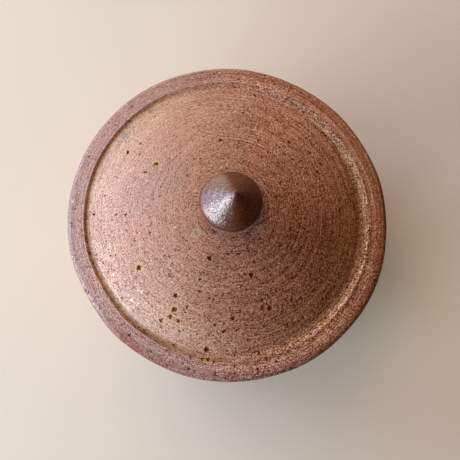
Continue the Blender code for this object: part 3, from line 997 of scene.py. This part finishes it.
def lid_marks(clay, at, colour, sheen):
    """Blooms, pits and pale grains over the grained clay. No pit has a sheen."""
    bloom = clay.distance_to(BLOOMS)
    open_pit = clay.fade(clay.distance_to(OPEN_PITS), 1.25, 0.8) * clay.upper
    ash_pit = clay.distance_to(ASH_PITS)
    halo = clay.fade(ash_pit + at.ragged_ash * 0.7, 2.3, 1.3) * clay.fade(ash_pit, 0.9, 1.3)
    pit_floor = clay.fade(ash_pit, 1.4, 0.9) * clay.upper
    pale_grain = clay.fade(clay.distance_to(PALE_GRAINS) + at.ragged_ash * 0.3, 1.0, 0.4)
    colour = clay.layered(
        colour,
        (clay.fade(bloom, 1.1, 0.7) * clay.upper * 0.8, BLOOM_ASH),
        (clay.band(bloom, 0.6, 0.9, 1.1, 1.4) * clay.upper * 0.7, GREEN_ASH),
        (open_pit * 0.95, clay.mix(at.left, PIT_RED, PIT_DARK)),
        (halo * clay.upper * 0.7, YELLOW_ASH),
        (pit_floor * 0.95, OCHRE),
        (clay.fade(ash_pit + at.patches, 0.9, 0.3) * clay.upper * 0.7, PIT_DARK),
        (pale_grain * clay.upper * 0.7, FELDSPAR),
    )
    return colour, clay.maths("MAXIMUM", sheen - open_pit - pit_floor * 1.5, 0.0)


# %% Dress the lid
def lid_finish():
    clay = Finish("lid_stoneware")
    at = lid_zones(clay)
    colour, relief, sheen = lid_grain(clay, at, lid_ash(clay, at, lid_clay(clay, at)))
    colour, sheen = lid_marks(clay, at, colour, sheen)
    finish_surface(clay, colour, relief, sheen, 0.55)
    return clay


lid_finish().dress(thrown_lid)

# %% [markdown]
# ## The pot's finish
# The pot is the same clay. The lid keeps ash off its rim, and its belly caught some on one side. Low
# down, where the trimming tool cut the foot, grains are dragged out, which leaves it a little darker.

# %% Finish of the pot
TRIMMED_CLAY = (0.215, 0.078, 0.042)
FLASHED_CLAY = (0.345, 0.150, 0.075)


def pot_finish():
    clay = Finish("pot_stoneware")
    broad = clay.noise(18, 3)
    patches = clay.noise(5, 3, 0.6)
    colour = clay.mix(1.0, CLAY, broad * 0.3 + patches * 0.2 + 1, "MULTIPLY")
    flashed = clay.fade(broad + patches * 0.5 - clay.x * 0.006, 0.0, 0.5) * clay.fade(clay.z, 12, 40)
    trimmed = clay.fade(clay.z + patches * 3, 13, 9)
    colour = clay.layered(colour, (flashed * 0.6, FLASHED_CLAY), (trimmed * 0.6, TRIMMED_CLAY))
    colour, relief, sheen = grained(clay, colour, 0.4)
    relief = relief * 0.5 + clay.drawn_noise(16, 0.7, 2) * trimmed * 0.08
    finish_surface(clay, colour, relief, sheen * 0.5, 0.6)
    return clay


pot_finish().dress(thrown_pot)

# %% [markdown]
# ## The knob's finish
# The knob stood in the flame, and the fire's vapour has given it a thin dark glaze on the side that
# faced it. There it shines like satin, most along one streak down from the point, and elsewhere it is a
# dull dark brown, redder on top. Under the shoulder it is painted darkest, which is painted shade.

# %% Finish of the knob
KNOB_SKIN = (0.075, 0.014, 0.004)
KNOB_RED = (0.125, 0.034, 0.014)


def knob_finish():
    clay = Finish("knob_stoneware")
    patches = clay.noise(2.6, 3, 0.6)
    grain = clay.noise(0.40, 2, 0.6)
    lines = clay.drawn_noise(5, 0.5, 2)
    # Painted shade: under the shoulder the knob is painted darker, and its sheen is cut there too.
    under = clay.fade(clay.z, SHOULDER_HEIGHT / MM + 2.8, SHOULDER_HEIGHT / MM)
    reddened = clay.fade(patches + clay.y * 0.05 - clay.x * 0.03, -0.1, 0.6)
    colour = clay.mix(reddened * 0.8, KNOB_SKIN, KNOB_RED)
    colour = clay.mix(1.0, colour, clay.stained(lines * 1.2 + grain * 1.6, IRON_STAIN), "MULTIPLY")
    flecks = clay.scattered(1.7, 0.14, 0.14)
    pits = clay.scattered(1.1, 0.30, 0.28, (3.0, 1.0, 6.0))
    layers = ((under * 0.6, PIT_DARK), (pits * 0.8, PIT_DARK), (flecks * 0.7, FELDSPAR))
    colour = clay.layered(colour, *layers)
    relief = grain * 0.08 + lines * 0.03 - pits * 0.10
    across_streak = clay.maths("ABSOLUTE", clay.x * 0.83 - clay.y * 0.56 + patches * 0.5 + 1.8)
    streak = clay.fade(across_streak, 1.6, 0.2) * clay.fade(clay.x, 0.5, -1.5)
    glazed = clay.fade(clay.x + clay.y * 0.3 + patches * 1.5, 1.0, -2.5) * (1 - under * 0.9)
    glazed = glazed * (clay.noise(0.3, 1) + streak * 0.18 + clay.fade(clay.y, 0, 5) * 0.30 + 0.62)
    sheen = clay.maths("MAXIMUM", glazed - pits, 0.0)
    finish_surface(clay, colour, relief, sheen, 0.36, gloss=0.15, roughness=0.30)
    return clay


knob_finish().dress(turned_knob)

# %% [markdown]
# ## Riding on the bodies
# The pot stands still. The lid lifts straight up out of its mouth, and the knob goes with it.

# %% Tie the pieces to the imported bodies
for piece, body, node, slot in (
    (thrown_pot, "pot", "pot", "pot_stoneware"),
    (thrown_lid, "lid", "lid", "lid_stoneware"),
    (turned_knob, "lid", "knob", "knob_stoneware"),
):
    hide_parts(node)
    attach(piece, body)

# %% [markdown]
# ## Floor and light
# The floor is plain and pale. In the photograph cool daylight comes in low from the left, most of it
# from a little below, so the lid's left side shines and its right side falls into shade. Warm light
# comes from high up behind, and the rest of the room is dim. Each of these is a soft lamp.

# %% Floor
FLOOR_PAINT = (0.56, 0.50, 0.43)
FLOOR_SIZE = 20.0  # metres, so that its edge is out of sight

bpy.ops.object.select_all(action="DESELECT")
bpy.ops.mesh.primitive_plane_add(size=FLOOR_SIZE, location=(0, 0, 0))
floor = bpy.context.object
floor.name = "studio_floor"
floor_paint = bpy.data.materials.new("floor_paint")
floor_paint.use_nodes = True
paint = floor_paint.node_tree.nodes["Principled BSDF"].inputs
paint["Base Color"].default_value = (*FLOOR_PAINT, 1)
paint["Roughness"].default_value = 0.7
floor.data.materials.append(floor_paint)

# %% Lights
# Name, azimuth (anticlockwise from the right) and elevation in degrees, distance, width and height in
# metres, power in watts, and colour.
LIGHTS = (
    ("front_window", 205, 12, 1.0, 0.60, 0.30, 10.4, (0.94, 0.89, 1.00)),
    ("side_window", 172, 12, 1.0, 0.60, 0.30, 3.3, (0.42, 0.58, 1.00)),
    ("near_window", 232, 12, 1.0, 0.12, 0.30, 2.6, (0.85, 0.85, 1.00)),
    ("high_back_window", 150, 30, 1.0, 0.70, 0.40, 8.3, (0.68, 0.87, 1.00)),
    ("high_front_window", 220, 30, 1.0, 0.70, 0.40, 3.9, (0.46, 1.00, 0.90)),
    ("lamp_above", 120, 62, 1.2, 0.65, 0.65, 3.3, (1.00, 0.57, 0.15)),
    ("ceiling", 200, 64, 1.2, 0.65, 0.65, 4.0, (1.00, 0.62, 0.62)),
    ("room_behind", 105, 14, 1.2, 0.80, 0.40, 4.7, (1.00, 0.85, 0.73)),
    ("room_beside", 60, 14, 1.2, 0.80, 0.40, 3.8, (1.00, 0.62, 0.36)),
)
ROOM_LIGHT = (1.0, 0.85, 0.70)
ROOM_STRENGTH = 0.02


def soft_lamp(name, azimuth, elevation, distance, width, height, power, colour):
    """An area lamp that faces the middle of the lid."""
    data = bpy.data.lights.new(name, "AREA")
    data.shape, data.size, data.size_y = "RECTANGLE", width, height
    data.energy, data.color = power, colour
    lamp = bpy.data.objects.new(name, data)
    bpy.context.scene.collection.objects.link(lamp)
    around, up = radians(azimuth), radians(elevation)
    heading = Vector((cos(around) * cos(up), sin(around) * cos(up), sin(up)))
    lamp.location = Vector((0, 0, CREASE_HEIGHT)) + heading * distance
    lamp.rotation_euler = heading.to_track_quat("Z", "Y").to_euler()


for settings in LIGHTS:
    soft_lamp(*settings)

world = bpy.data.worlds.new("room")
world.use_nodes = True
background = world.node_tree.nodes["Background"].inputs
background["Color"].default_value = (*ROOM_LIGHT, 1)
background["Strength"].default_value = ROOM_STRENGTH
bpy.context.scene.world = world
bpy.context.scene.view_settings.view_transform = "Standard"
print(len(LIGHTS), "soft lamps, with", sum(settings[6] for settings in LIGHTS), "W in all")

# %% [markdown]
# ## Last step

# %% Deselect everything
bpy.ops.object.select_all(action="DESELECT")
